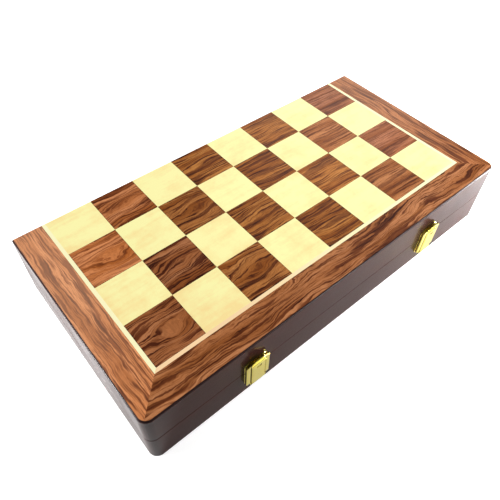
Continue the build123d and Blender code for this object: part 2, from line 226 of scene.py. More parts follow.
def tile_lattice(tree, given):
    """Which square of the board a point is on, its place in that square in millimetres, a random number for
    the square, and the distance to the nearest joint line."""
    x, y, _ = tree.split(given["Vector"])
    size = SQUARE / MM

    def square_of(value, first):
        """The number of the square along one side, and the place from its middle."""
        along = tree.math("DIVIDE", tree.less(value, first), SQUARE)
        number = tree.math("FLOOR", along)
        return number, tree.times(tree.less(tree.less(along, number), 0.5), size)

    file, u = square_of(x, FIELD_LEFT)
    rank, v = square_of(y, FIELD_FRONT)
    square = tree.join(file, rank, 3.0)
    chance = tree.put("ShaderNodeTexWhiteNoise", {"Vector": square}, noise_dimensions="3D")
    furthest = tree.math("MAXIMUM", tree.math("ABSOLUTE", u), tree.math("ABSOLUTE", v))
    return [u, v, file, rank, chance.outputs[0], tree.less(size / 2, furthest)]


def outline_distance(tree, given):
    """How far a point seen from above lies inside the rounded outline of the box, in millimetres."""
    x, y, _ = tree.split(given["Vector"])
    past_x = tree.less(tree.math("ABSOLUTE", x), HALF_LENGTH - CORNER_RADIUS)
    past_y = tree.less(tree.times(y, -1.0), HALF_DEPTH - CORNER_RADIUS)
    corner = tree.join(tree.math("MAXIMUM", past_x, 0.0), tree.math("MAXIMUM", past_y, 0.0), 0.0)
    from_corner = tree.put("ShaderNodeVectorMath", {0: corner}, operation="LENGTH").outputs["Value"]
    inside = tree.math("MINIMUM", tree.math("MAXIMUM", past_x, past_y), 0.0)
    distance = tree.less(CORNER_RADIUS, tree.add(from_corner, inside))
    return [tree.math("DIVIDE", distance, MM)]


def handling(tree, given):
    """Faint clouds, hairline scratches along X and ripples that handling leaves in a gloss."""
    place = given["Vector"]
    x, y, z = tree.split(place)
    scratched = tree.join(tree.times(x, 90.0), tree.times(y, 1500.0), tree.times(z, 1500.0))
    return [tree.noise(place, 26.0, 4.0, 0.6), tree.noise(scratched, 1.0, 2.0, 0.6), tree.noise(place, 240.0)]


figure_group = effect("veneer figure", ["Streak", "Line", "Tone", "Fine", "Fibre"], veneer_figure,
                      Warp=9.0, Eye=0.0, Pitch=0.28)
lattice_group = effect("tile lattice", ["U", "V", "File", "Rank", "Chance", "Joint"], tile_lattice)
outline_group = effect("outline distance", ["Distance"], outline_distance)
handling_group = effect("handling", ["Cloud", "Hair", "Ripple"], handling)


# Materials

def material(name, build, **constants):
    """A material with one Principled BSDF. build(tree, place) returns its linked sockets by name and may give
    a Height and Bump distance for the normal."""
    made = bpy.data.materials.new(name)
    tree = emptied(made)
    shader = tree.put("ShaderNodeBsdfPrincipled")
    tree.put("ShaderNodeOutputMaterial", {0: shader.outputs[0]})
    for key, value in constants.items():
        shader.inputs[key.replace("_", " ")].default_value = value
    place = tree.put("ShaderNodeTexCoord").outputs["Object"]
    links = build(tree, place)
    height, distance = links.pop("Height")
    bump = tree.put("ShaderNodeBump", {"Strength": 1.0, "Distance": distance, "Height": height})
    links["Normal"] = bump.outputs[0]
    for key, socket in links.items():
        tree.feed(shader.inputs[key], socket)
    return made


def in_mm(tree, place):
    """The three parts of a place, in millimetres."""
    feeds = {0: place, 1: (1.0 / MM, 1.0 / MM, 1.0 / MM)}
    return tree.split(tree.put("ShaderNodeVectorMath", feeds, operation="MULTIPLY").outputs[0])


STRIP_PALE = (0.560, 0.225, 0.088)
STRIP_MIDDLE = (0.440, 0.158, 0.052)
STRIP_DEEP = (0.285, 0.086, 0.020)
SQUARE_PALE = (0.440, 0.172, 0.062)
SQUARE_MIDDLE = (0.345, 0.118, 0.034)
SQUARE_DEEP = (0.235, 0.066, 0.012)
# painted sheen: the pale pink that the side strips take on towards the rear
PAINTED_SHEEN = (0.800, 0.450, 0.280)
EDGE_LACQUER = (0.014, 0.006, 0.006)
FLECK = (0.66, 0.46, 0.20)
# painted shade for the creases beside the raised panel of a lever
PAINTED_CREASE_SHADE = (0.06, 0.035, 0.005)
BRIGHTEST = 0.85
WOOD_GLOSS = 0.08
LACQUER_GLOSS = 0.055
DARK_WOOD_ROUGHNESS = (0.36, 0.46)
MAPLE_ROUGHNESS = (0.36, 0.44)
DARK_WOOD_PORES = 0.010 * MM
MAPLE_PORES = 0.006 * MM
MEN_PORES = 0.012 * MM


def darker_by(tree, colour, mask, share, kept):
    """Where the mask is, a share of the colour is multiplied by what is kept of it."""
    return tree.mix(tree.times(mask, share), colour, tree.mix(1.0, colour, (*kept, 1.0), "MULTIPLY"))


def grained(tree, colour, figure, roughness, pores):
    """The sockets that a wood feeds: its colour, and a roughness and a height that follow its fibres."""
    dull = tree.step(figure["Fibre"], 0.2, 0.8, *roughness)
    return {"Base Color": colour, "Roughness": dull, "Height": (figure["Fibre"], pores)}


def veined(tree, figure, deep, middle, pale, streaks, lines):
    """Rosewood colour: tone between three browns, dark bands, narrow lines, pores and a light shimmer."""
    wood = tree.ramp(figure["Tone"], [(0.36, deep), (0.48, middle), (0.62, pale)])
    wood = darker_by(tree, wood, figure["Streak"], streaks, (0.24, 0.11, 0.03))
    wood = darker_by(tree, wood, figure["Line"], lines, (0.20, 0.09, 0.03))
    wood = darker_by(tree, wood, tree.step(figure["Fine"], 0.49, 0.64), 0.75, (0.42, 0.28, 0.16))
    return tree.shaded(wood, tree.step(figure["Fibre"], 0.3, 0.7, 0.84, 1.14))


def border_wood(lengthwise, seed, brighter, warp):
    """Rosewood strip with its grain along the strip and a dark lacquered edge. The strips at the sides get a
    painted sheen towards the rear, most of all the left one."""
    def build(tree, place):
        x, y, _ = in_mm(tree, place)
        grain = tree.join(x, y, seed) if lengthwise else tree.join(y, x, seed)
        figure = tree.use(figure_group, Vector=grain, Warp=warp, Eye=0.0, Pitch=0.28)
        browns = np.minimum(np.array([STRIP_DEEP, STRIP_MIDDLE, STRIP_PALE]) * brighter, BRIGHTEST).tolist()
        wood = veined(tree, figure, *browns, 0.85, 0.85)
        if not lengthwise:
            # painted sheen towards the rear of the side strips, most on the left one
            rearward = tree.step(y, -75.0, 25.0, 0.15, 1.0)
            most = tree.step(x, -10.0, 10.0, 0.28, 0.10)
            wood = tree.mix(tree.times(rearward, most), wood, (*PAINTED_SHEEN, 1.0))
        inside = tree.use(outline_group, Vector=place)["Distance"]
        colour = tree.mix(tree.step(inside, 0.8, 1.25, 1.0, 0.0), wood, (*EDGE_LACQUER, 1.0))
        return grained(tree, colour, figure, DARK_WOOD_ROUGHNESS, DARK_WOOD_PORES)
    return material(f"rosewood strip {seed:g}", build, Specular_IOR_Level=WOOD_GLOSS)


def dark_square_wood():
    """Rosewood squares cut one after another from a few leaves of veneer, with thin dark joints. The leaves
    at the left have eyes and a strong wave. Those at the right lie the other way, and are straighter and
    plainer. The squares get lighter towards the right files, and the far squares of the first file come
    from a paler leaf. The blue is lowest in the middle files, the warmest, and a painted sheen raises it
    again over the last files at the right."""
    def build(tree, place):
        tile = tree.use(lattice_group, Vector=place)
        file, rank = tile["File"], tile["Rank"]
        seed = tree.add(tree.times(file, 7.3), tree.times(rank, 0.10))
        slope = tree.step(file, 1.0, 4.0, 0.02, -0.075)
        tilted = tree.less(tile["V"], tree.times(tile["U"], slope))
        eye = tree.step(file, 2.2, 3.6, 0.88, 0.0)
        warp = tree.step(file, 2.2, 3.6, 17.0, 8.0)
        grain = tree.join(tile["U"], tilted, seed)
        figure = tree.use(figure_group, Vector=grain, Warp=warp, Eye=eye, Pitch=0.27)
        pale_leaf = tree.times(tree.step(file, 0.4, 1.6, 1.0, 0.0), tree.step(rank, 1.2, 1.8))
        figured = tree.less(tree.step(file, 4.0, 7.0, 1.0, 0.65), tree.times(pale_leaf, 0.40))
        bands = tree.times(tree.step(file, 2.2, 3.6, 0.90, 0.68), figured)
        wood = veined(tree, figure, SQUARE_DEEP, SQUARE_MIDDLE, SQUARE_PALE, bands, tree.times(0.95, figured))
        paler = tree.add(tree.times(pale_leaf, 0.75), tree.step(file, 2.6, 5.0, 0.0, 0.20))
        shade = tree.add(tree.step(tile["Chance"], 0.0, 1.0, 0.94, 1.08), paler)
        left_blue = tree.step(file, 1.0, 2.5, 1.10, 0.60)
        # painted sheen: the blue rises again over the last files at the right
        right_sheen_blue = tree.step(file, 5.0, 7.0, 0.60, 1.30)
        blue = tree.times(shade, tree.math("MAXIMUM", left_blue, right_sheen_blue))
        joint = tree.step(tile["Joint"], 0.12, 0.34, 1.0, 0.0)
        colour = darker_by(tree, tree.shaded(wood, shade, blue), joint, 0.8, (0.25, 0.25, 0.25))
        return grained(tree, colour, figure, DARK_WOOD_ROUGHNESS, DARK_WOOD_PORES)
    return material("rosewood squares", build, Specular_IOR_Level=WOOD_GLOSS)


def light_wood(name, pale, warm, seed, strip):
    """Pale maple with very faint grain and fine flecks. Each square differs a little, and the wood gets
    warmer and darker towards the front left corner. Of the inlay line, only the front strip does, up to
    its mitres."""
    def build(tree, place):
        tile = tree.use(lattice_group, Vector=place)
        x, y, _ = in_mm(tree, place)
        leaf = tree.add(tree.times(tile["Chance"], 50.0), seed)
        figure = tree.use(figure_group, Vector=tree.join(x, y, leaf), Warp=6.0, Eye=0.0, Pitch=0.3)
        if strip:
            half_field = -FIELD_LEFT / MM
            from_end = tree.math("MINIMUM", tree.add(x, half_field), tree.less(half_field, x))
            front = tree.math("LESS_THAN", tree.less(y, FIELD_FRONT / MM), from_end)
            corner = tree.times(front, tree.step(x, -110.0, 60.0, 0.20, 0.04))
            cloud = 0.56
        else:
            corner = tree.step(tree.add(tree.times(x, 0.6), y), -135.0, -45.0, 0.15, 0.0)
            mottle = tree.noise(place, 60.0, 4.0, 0.7)
            cloud = tree.add(tree.times(figure["Tone"], 0.4), tree.times(mottle, 0.6))
        wood = tree.ramp(tree.less(cloud, corner), [(0.34, warm), (0.54, pale)])
        flecks = tree.times(tree.step(figure["Fine"], 0.54, 0.72), 0.09)
        wood = tree.mix(flecks, wood, (*FLECK, 1.0))
        colour = tree.shaded(wood, tree.step(tile["Chance"], 0.0, 1.0, 0.97, 1.02))
        return grained(tree, colour, figure, MAPLE_ROUGHNESS, MAPLE_PORES)
    return material(name, build, Specular_IOR_Level=WOOD_GLOSS)


def box_lacquer():
    """Deep brown lacquer over wood: grain just visible, clouded gloss and fine hairlines."""
    def build(tree, place):
        x, y, z = in_mm(tree, place)
        figure = tree.use(figure_group, Vector=tree.join(tree.add(x, y), z, 4.0), Warp=5.0, Eye=0.0)
        wood = tree.ramp(figure["Tone"], [(0.35, (0.015, 0.006, 0.005)), (0.65, (0.025, 0.009, 0.007))])
        wear = tree.use(handling_group, Vector=place)
        hairs = tree.times(tree.step(wear["Hair"], 0.62, 0.75), 0.05)
        rough = tree.add(tree.step(wear["Cloud"], 0.3, 0.75, 0.16, 0.26), hairs)
        return {"Base Color": wood, "Roughness": rough, "Height": (wear["Ripple"], 0.008 * MM)}
    return material("dark lacquer", build, Specular_IOR_Level=LACQUER_GLOSS)


CREASE = 5.35


def brass(name, colour, rough, crease_shaded=False):
    """Plated brass with a trace of tarnish in its clouds and fine polishing lines. The creases beside the
    raised panel of a lever get painted shade, the left one more so."""
    def build(tree, place):
        wear = tree.use(handling_group, Vector=place)
        tarnish = tree.times(tree.step(wear["Cloud"], 0.45, 0.8), 0.5)
        duller = (colour[0] * 0.72, colour[1] * 0.66, colour[2] * 0.55, 1.0)
        shade = tree.mix(tarnish, (*colour, 1.0), duller)
        hairs = tree.times(tree.step(wear["Hair"], 0.55, 0.7), 0.06)
        roughness = tree.add(tree.step(wear["Cloud"], 0.3, 0.8, rough, rough + 0.10), hairs)
        # painted shade along the two creases beside the raised panel, darker at the left one
        if crease_shaded:
            x, _, _ = in_mm(tree, place)
            across = tree.times(tree.less(tree.math("ABSOLUTE", x), LATCH_MIDDLE), tree.math("SIGN", x))
            left = tree.step(tree.math("ABSOLUTE", tree.add(across, CREASE)), 0.30, 0.55, 0.90, 0.0)
            right = tree.step(tree.math("ABSOLUTE", tree.less(across, CREASE)), 0.30, 0.55, 0.25, 0.0)
            shade = tree.mix(tree.add(left, right), shade, (*PAINTED_CREASE_SHADE, 1.0))
        return {"Base Color": shade, "Roughness": roughness, "Height": (wear["Ripple"], 0.012 * MM)}
    return material(name, build, Metallic=1.0)


BETWEEN_ROWS = -12.0


def turned_wood(name, pale, middle, dark, streaks, rough):
    """Wood of the chessmen with its grain along Y, the way that they lie. Each man has its own piece of
    it."""
    def build(tree, place):
        x, y, z = in_mm(tree, place)
        number = tree.math("FLOOR", tree.math("DIVIDE", tree.add(x, 4 * PITCH), PITCH))
        row = tree.math("GREATER_THAN", y, BETWEEN_ROWS)
        seed = tree.add(tree.times(number, 3.1), tree.times(row, 17.7))
        grain = tree.join(y, tree.add(x, tree.times(z, 0.6)), seed)
        figure = tree.use(figure_group, Vector=grain, Warp=5.0, Eye=0.0)
        wood = tree.ramp(figure["Tone"], [(0.30, dark), (0.48, middle), (0.66, pale)])
        streak = tree.times(tree.step(figure["Fine"], 0.50, 0.75), streaks)
        wood = tree.mix(streak, wood, (*[part * 0.35 for part in dark], 1.0))
        return grained(tree, wood, figure, (rough, rough + 0.08), MEN_PORES)
    return material(name, build, Coat_Weight=0.3, Coat_Roughness=0.15)


def flocked_foam():
    """Dark green flock over foam: short fibres that catch the light at a flat angle."""
    def build(tree, place):
        fur = tree.noise(place, 2600.0, 2.0, 0.7)
        nap = tree.noise(place, 60.0, 3.0, 0.6)
        shade = tree.add(tree.step(fur, 0.25, 0.75, 0.0, 0.7), tree.step(nap, 0.3, 0.7, 0.0, 0.3))
        colour = tree.ramp(shade, [(0.0, (0.004, 0.022, 0.010)), (1.0, (0.022, 0.085, 0.042))])
        return {"Base Color": colour, "Height": (fur, 0.2 * MM)}
    return material("green flock", build, Roughness=0.95, Sheen_Weight=0.5, Sheen_Roughness=0.4,
                    Sheen_Tint=(0.25, 0.6, 0.35, 1.0), Specular_IOR_Level=0.15)


YELLOW_BRASS = (0.94, 0.80, 0.18)
lacquer = box_lacquer()
dark_squares = dark_square_wood()
maple = light_wood("maple", (0.985, 0.930, 0.430), (0.965, 0.760, 0.330), 0.0, False)
maple_line = light_wood("maple line", (0.975, 0.930, 0.560), (0.950, 0.640, 0.360), 7.0, True)
bright_brass = brass("bright brass", YELLOW_BRASS, 0.10)
crease_shaded_brass = brass("crease shaded brass", YELLOW_BRASS, 0.10, crease_shaded=True)
satin_brass = brass("satin brass", (0.80, 0.60, 0.22), 0.20)
boxwood = turned_wood("boxwood men", (0.80, 0.56, 0.27), (0.70, 0.44, 0.18), (0.55, 0.31, 0.11), 0.35, 0.32)
rosewood = turned_wood("rosewood men", (0.20, 0.062, 0.030), (0.12, 0.034, 0.018), (0.06, 0.016, 0.010),
                       0.6, 0.28)
flock = flocked_foam()

# The finish of each CAD node by the first of these words in its name. Any other node is bright brass
FINISHES = {
    "upper_front_border": border_wood(True, 3.0, brighter=0.90, warp=14.0),
    "lower_front_border": border_wood(True, 5.0, brighter=0.90, warp=14.0),
    "upper_left_border": border_wood(False, 8.0, brighter=1.48, warp=9.0),
    "lower_left_border": border_wood(False, 9.0, brighter=1.48, warp=9.0),
    "upper_right_border": border_wood(False, 14.0, brighter=1.05, warp=9.0),
    "lower_right_border": border_wood(False, 15.0, brighter=1.05, warp=9.0),
    "_wall": lacquer,
    "_panel": lacquer,
    "dark_squares": dark_squares,
    "light_squares": maple,
    "inlay_line": maple_line,
    "liner": flock,
    "light_": boxwood,
    "dark_": rosewood,
    "screws": satin_brass,
    "_pin": satin_brass,
}

for node in nodes:
    finish = next((made for word, made in FINISHES.items() if word in node), bright_brass)
    mesh = nodes[node].data
    mesh.materials.clear()
    mesh.materials.append(finish)


# Surfaces worked out on grids, in millimetres

def placed(name, data):
    """A new object in the scene."""
    thing = bpy.data.objects.new(name, data)
    scene.collection.objects.link(thing)
    return thing


def turn_outwards(points, kinds):
    """The faces of a closed skin, turned over if the skin encloses a negative volume. The volume is the sum
    of a x b . c over the triangles of its faces."""
    volume = 0.0
    for faces in kinds:
        for corner in range(1, faces.shape[1] - 1):
            a, b, c = points[faces[:, 0]], points[faces[:, corner]], points[faces[:, corner + 1]]
            volume += np.einsum("ij,ij->", np.cross(a, b), c)
    return [faces[:, ::-1] if volume < 0 else faces for faces in kinds]


def new_piece(name, skins, made, body, slot, *stands_for, sharp=38.0):
    """One object from closed skins, each a tuple of its points and then its faces by their number of
    corners."""
    points, corners, sizes, count = [], [], [], 0
    for skin_points, *kinds in skins:
        for faces in turn_outwards(skin_points, kinds):
            corners.append((faces + count).ravel())
            sizes.append(np.full(len(faces), faces.shape[1]))
        points.append(skin_points)
        count += len(skin_points)
    mesh = bpy.data.meshes.new(name)
    corners, sizes = np.concatenate(corners), np.concatenate(sizes)
    mesh.vertices.add(count)
    mesh.vertices.foreach_set("co", (np.concatenate(points) * MM).ravel())
    mesh.loops.add(len(corners))
    mesh.loops.foreach_set("vertex_index", corners)
    mesh.polygons.add(len(sizes))
    mesh.polygons.foreach_set("loop_start", np.cumsum(sizes) - sizes)
    mesh.polygons.foreach_set("use_smooth", np.ones(len(sizes), bool))
    mesh.update(calc_edges=True)
    mesh.validate()
    mesh.set_sharp_from_angle(angle=math.radians(sharp))
    return settle(name, mesh, made, body, slot, *stands_for)


def settle(name, mesh, made, body, slot, *stands_for):
    """Puts a mesh into the scene as a piece of a body, in place of some CAD nodes."""
    mesh.materials.append(made)
    thing = placed(name, mesh)
    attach(thing, body)
    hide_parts(*stands_for)
    return thing


def numbered(rows, columns, first=0):
    """A grid of point numbers."""
    return first + np.arange(rows * columns).reshape(rows, columns)


def closed(index, axis):
    """A grid of point numbers with its first row or column once more at its end."""
    return np.concatenate([index, index.take([0], axis=axis)], axis=axis)


def cells(index):
    """The four corners of each cell of a grid of point numbers."""
    return np.stack([index[:-1, :-1], index[:-1, 1:], index[1:, 1:], index[1:, :-1]], axis=-1)


def capped(rings):
    """Rows of points carried along a path and joined round into a skin. A fan to its middle closes each
    end."""
    count, around, _ = rings.shape
    points = np.concatenate([rings.reshape(-1, 3), rings[[0, -1]].mean(axis=1)])
    index = numbered(count, around)
    beside = np.roll(index, -1, axis=1)
    first = np.stack([beside[0], index[0], np.full(around, count * around)], axis=-1)
    last = np.stack([index[-1], beside[-1], np.full(around, count * around + 1)], axis=-1)
    return points, cells(closed(index, 1)).reshape(-1, 4), np.concatenate([first, last])


def looped(rings):
    """Rows of points joined round both ways, as on a ring."""
    count, around, _ = rings.shape
    index = closed(closed(numbered(count, around), 0), 1)
    return rings.reshape(-1, 3), cells(index).reshape(-1, 4)


def inset(outline, distance):
    """A closed outline of (u, v) points moved in by a distance: each corner goes along the sum of its two
    edge normals over one plus their dot product. The outline runs anticlockwise."""
    edge = np.roll(outline, -1, axis=0) - outline
    edge = edge / np.linalg.norm(edge, axis=1)[:, None]
    after = np.stack([-edge[:, 1], edge[:, 0]], axis=1)
    before = np.roll(after, 1, axis=0)
    share = 1.0 + np.einsum("ij,ij->i", before, after)[:, None]
    return outline + distance * (before + after) / share


def prism(outline, start, end, edge, place):
    """An outline carried from start to end, its two rims eased by edge. place(u, v, w) gives the points.
    The ends are single faces, so that the outline may be hollow."""
    levels = [(start, edge), (start + edge, 0.0), (end - edge, 0.0), (end, edge)]
    rings = np.stack([place(*inset(outline, inward).T, np.full(len(outline), level))
                      for level, inward in levels])
    index = numbered(len(levels), len(outline))
    quads = cells(closed(index, 1)).reshape(-1, 4)
    return rings.reshape(-1, 3), quads, np.stack([index[0][::-1], index[-1]])


def facing_front(u, v, w):
    """u across, v up and w out of the front wall."""
    return np.stack([u, -HALF_DEPTH / MM - w, v], axis=-1)


def along_x(u, v, w):
    """u out of the front wall, v up and w along X."""
    return np.stack([w, -HALF_DEPTH / MM - u, v], axis=-1)


def rounded(points, times=3):
    """Cuts the corners of an open line a few times, each time at a quarter and three quarters of every
    run."""
    line = np.asarray(points, float)
    for _ in range(times):
        quarter = 0.75 * line[:-1] + 0.25 * line[1:]
        three_quarters = 0.25 * line[:-1] + 0.75 * line[1:]
        inner = np.stack([quarter, three_quarters], axis=1).reshape(-1, line.shape[1])
        line = np.concatenate([line[:1], inner, line[-1:]])
    return line


def corner_arcs(half_width, low, high, radii, steps=7):
    """A rectangle round x = 0 from low to high, anticlockwise, with the corners at lower left, lower right,
    upper right and upper left rounded by radii."""
    outline = []
    corners = [(-1, low, 1, 180.0), (1, low, 1, 270.0), (1, high, -1, 0.0), (-1, high, -1, 90.0)]
    for (side, level, up, start), radius in zip(corners, radii):
        turn = np.radians(np.linspace(start, start + 90.0, steps))
        middle = np.array([side * (half_width - radius), level + up * radius])
        outline.append(middle + radius * np.stack([np.cos(turn), np.sin(turn)], axis=1))
    return np.concatenate(outline)


# The chessmen: radius against height above the foot, turned round, and laid in the trays

ROUND = 48
around_turn = np.linspace(0.0, 2.0 * np.pi, ROUND, endpoint=False)


def foot(radius):
    """The rounded disc and the step that every man stands on."""
    return rounded([(radius - 1.0, 0.0), (radius, 0.1), (radius, 2.6), (radius - 0.6, 3.0),
                    (0.80 * radius, 3.1), (0.80 * radius, 3.9), (0.72 * radius, 4.4)])


def waist(radius, neck, top, steps=14):
    """The stem: from the foot to the neck, its width falls with the power 2.4 of the way that is left."""
    way = np.linspace(0.0, 1.0, steps)
    return np.stack([neck + (0.70 * radius - neck) * (1.0 - way) ** 2.4, 4.6 + way * (top - 4.6)], axis=1)


def bead(inner, outer, middle, half, steps=9):
    """A half ellipse that stands out of the stem as a collar."""
    turn = np.radians(np.linspace(-90.0, 90.0, steps))
    return np.stack([inner + (outer - inner) * np.cos(turn), middle + half * np.sin(turn)], axis=1)


def ball(radius, middle, start, end=88.0, steps=16):
    """An arc from one angle above the level of its middle to another."""
    turn = np.radians(np.linspace(start, end, steps))
    return np.stack([radius * np.cos(turn), middle + radius * np.sin(turn)], axis=1)


def turned(*parts):
    """A profile of radius and height turned round the axis."""
    profile = np.concatenate(parts)
    radius, height = profile[:, 0, None], profile[:, 1, None]
    return np.stack([radius * np.cos(around_turn), radius * np.sin(around_turn),
                     np.broadcast_to(height, (len(profile), ROUND))], axis=-1)


def smooth(value, low, high):
    """A smooth step from 0 at low to 1 at high."""
    way = np.clip((value - low) / (high - low), 0.0, 1.0)
    return way * way * (3.0 - 2.0 * way)


def pawn():
    return [capped(turned(foot(7.5), waist(7.5, 2.3, 20.6), bead(2.3, 4.1, 21.9, 0.8), [(2.2, 23.0)],
                          ball(4.8, 28.2, -62.0)))]


def rook():
    """The wall of the tower drops to its floor where the sine of twice the angle is near zero."""
    rings = turned(foot(8.5), waist(8.5, 4.0, 26.0), bead(4.0, 5.2, 27.0, 0.7),
                   rounded([(4.2, 27.9), (4.4, 29.4), (6.0, 31.2), (6.2, 32.0)]),
                   [(6.2, 33.6), (6.2, 36.6), (6.0, 37.0), (4.9, 37.0), (4.7, 36.8), (4.7, 33.6),
                    (3.0, 33.6)])
    wall = smooth(np.abs(np.sin(2.0 * around_turn)), 0.24, 0.40)
    above = np.maximum(rings[..., 2] - 33.6, 0.0)
    rings[..., 2] -= above * (1.0 - wall)
    return [capped(rings)]


def bishop():
    """The slit of the mitre is a dent where the distance to a tilted plane is under half its width."""
    mitre = rounded([(2.7, 32.0), (4.3, 32.8), (4.9, 35.2), (4.8, 38.0), (3.4, 41.4), (1.3, 43.7),
                     (1.0, 44.0)], 5)
    rings = turned(foot(8.5), waist(8.5, 2.7, 28.2), bead(2.7, 4.7, 29.4, 0.8), bead(2.7, 3.6, 31.1, 0.5),
                   mitre, ball(1.3, 44.7, -35.0))
    from_slit = 0.82 * (rings[..., 2] - 40.26) - 0.57 * (rings[..., 0] - 4.8)
    dent = np.exp(-(from_slit / 0.42) ** 4) * smooth(rings[..., 0], 0.3, 1.2)
    rings[..., :2] *= (1.0 - 0.45 * dent)[..., None]
    return [capped(rings)]


def queen():
    """The rim of the crown rises with the cosine of eight times the angle."""
    cup = rounded([(3.1, 37.0), (3.3, 40.5), (4.9, 44.2), (6.1, 45.6)])
    dome = rounded([(4.6, 46.0), (3.8, 47.2), (2.2, 48.2), (1.3, 48.4)])
    rings = turned(foot(9.5), waist(9.5, 3.1, 33.2), bead(3.1, 5.3, 34.6, 0.9), bead(3.1, 4.1, 36.4, 0.5),
                   cup, [(6.2, 46.0), (6.0, 46.3), (5.0, 46.1)], dome, ball(1.9, 50.1, -52.0))
    outer = smooth(np.hypot(rings[..., 0], rings[..., 1]), 4.6, 5.8)
    rim = np.exp(-((rings[..., 2] - 46.2) / 0.7) ** 2) * outer
    rings[..., 2] += 0.55 * rim * np.cos(8.0 * around_turn)
    return [capped(rings)]


def king():
    """A turned body, and a flared cross whose rounded outline grows to its full size between its two
    faces."""
    body = turned(foot(10.0), waist(10.0, 3.3, 33.6), bead(3.3, 5.7, 35.2, 1.0), bead(3.3, 4.3, 37.2, 0.5),
                  rounded([(3.3, 37.8), (3.5, 41.5), (5.1, 46.4), (6.4, 47.7)]),
                  rounded([(6.5, 48.1), (6.4, 48.6), (5.2, 49.3), (2.6, 50.2), (1.5, 51.2), (1.2, 51.6)]))
    quarter = np.array([(0.75, 0.75), (1.25, 3.25), (1.0, 3.5), (-1.0, 3.5), (-1.25, 3.25)])
    arms = np.concatenate([quarter @ np.array([[np.cos(t), np.sin(t)], [-np.sin(t), np.cos(t)]])
                           for t in np.radians([0, 90, 180, 270])])
    turn = np.radians(np.linspace(-90.0, 90.0, 7))
    size = 1.0 - 0.12 * (1.0 - np.cos(turn))
    sideways, upwards = size[:, None] * arms[:, 0], 54.5 + size[:, None] * arms[:, 1]
    cross = np.stack(np.broadcast_arrays(sideways, 1.15 * np.sin(turn)[:, None], upwards), axis=-1)
    return [capped(body), capped(cross)]


def knight():
    """Ellipses between a front and a back line that fan round the throat into the muzzle, with a combed
    mane along the back line, an eye and a nostril on each cheek, and two cones for ears."""
    front = rounded([(-5.4, 3.6), (-4.8, 8.5), (-2.6, 13.5), (-0.6, 18.6), (-1.2, 22.0), (-2.6, 23.0),
                     (-4.3, 22.4), (-5.8, 21.3), (-6.8, 21.3), (-7.2, 22.6), (-7.4, 23.9)])
    back = rounded([(5.9, 3.6), (6.9, 12.0), (7.1, 19.0), (6.9, 25.5), (5.6, 31.5), (3.2, 36.0), (-0.8, 37.2),
                    (-3.7, 34.4), (-6.0, 29.8), (-7.2, 26.6), (-7.4, 25.2)])
    half = rounded([(a, 0.0) for a in (3.7, 3.6, 3.3, 3.1, 3.3, 3.3, 3.0, 2.7, 2.4, 1.8, 0.8)])[:, 0]
    way = np.linspace(0.0, 1.0, len(half))[:, None]
    across = np.sign(np.cos(around_turn)) * np.abs(np.cos(around_turn)) ** 0.9
    middle, reach = (front + back)[:, None, :] / 2, (back - front)[:, None, :] / 2
    flat = middle + reach * across[None, :, None]
    comb = smooth(across, 0.55, 0.9) * smooth(way, 0.06, 0.12) * smooth(way, 0.62, 0.56)
    thick = half[:, None] * np.sin(around_turn) * (1.0 - 0.22 * comb * (0.5 + 0.5 * np.cos(way * 150.0)))

    def spot(x, z, size):
        return np.exp(-((flat[..., 0] - x) ** 2 + (flat[..., 1] - z) ** 2) / size**2)

    eye, nostril, cheek = spot(-2.0, 31.2, 1.0), spot(-6.3, 25.6, 0.7), spot(-1.2, 26.4, 3.0)
    thick = thick * (1.0 + 0.16 * eye - 0.25 * nostril + 0.10 * cheek)
    head = np.stack([flat[..., 0], thick, flat[..., 1]], axis=-1)
    level = np.linspace(0.0, 1.0, 9)[:, None]
    ears = []
    for side in (-1.0, 1.0):
        width = 1.35 * (1.0 - level) ** 0.8 + 0.12
        ears.append(capped(np.stack([1.1 - 0.5 * level + width * np.cos(around_turn),
                                     side * (1.5 + 0.3 * level) + 0.8 * width * np.sin(around_turn),
                                     36.0 + 6.0 * level + 0.0 * around_turn], axis=-1)))
    return [capped(turned(foot(8.5))), capped(head), *ears]


# AXIS_HEIGHT is that of the lying men, MEN_BASE how far out their feet are
AXIS_HEIGHT = 14.7
MEN_BASE = 62.4
PARTING = HALF_HEIGHT / MM
BACK_RANK = ["rook", "knight", "bishop", "queen", "king", "bishop", "knight", "rook"]
MAKERS = {"pawn": pawn, "rook": rook, "knight": knight, "bishop": bishop, "queen": queen, "king": king}


def file_middle(place):
    """X of the men that lie at one of the eight places along a tray."""
    return (place - 3.5) * PITCH


def laid(skins, x, facing, dark):
    """Lays a standing man in a tray along Y, with its foot at the hinges for facing 1 and at the latches
    for -1. The dark men lie mirrored in the parting plane."""
    moved = []
    for points, *kinds in skins:
        level = AXIS_HEIGHT + facing * points[:, 1]
        level = 2 * PARTING - level if dark else level
        along = facing * (MEN_BASE - points[:, 2])
        moved.append((np.stack([x + points[:, 0], along, level], axis=-1), *kinds))
    return moved


def chessmen():
    """One piece for each kind of man of each colour."""
    sides = (("light", boxwood, "base", "boxwood_men"), ("dark", rosewood, "lid", "rosewood_men"))
    for colour, made, body, slot in sides:
        for kind, maker in MAKERS.items():
            man = maker()
            places = range(8) if kind == "pawn" else [i for i, name in enumerate(BACK_RANK) if name == kind]
            facing = -1 if kind == "pawn" else 1
            skins = [skin for i in places for skin in laid(man, file_middle(i), facing, colour == "dark")]
            node = f"{colour}_{kind}" if len(places) == 1 else f"{colour}_{kind}s"
            new_piece(f"{node}_turned", skins, made, body, slot, node, sharp=50.0)


chessmen()


# Foam trays

FOOT_HALF = {"pawn": 7.5, "rook": 8.5, "knight": 8.5, "bishop": 8.5, "queen": 9.5, "king": 10.0}
BODY_HALF = {"pawn": 5.4, "rook": 6.2, "knight": 7.5, "bishop": 6.12, "queen": 6.84, "king": 7.2}
HEIGHTS = {"pawn": 33.0, "rook": 37.0, "knight": 42.0, "bishop": 46.0, "queen": 52.0, "king": 58.0}
LINER_HALF_LENGTH = 141.7
LINER_HALF_DEPTH = 66.7
LINER_FLOOR = 3.6
FINGER_TROUGH = 5.0


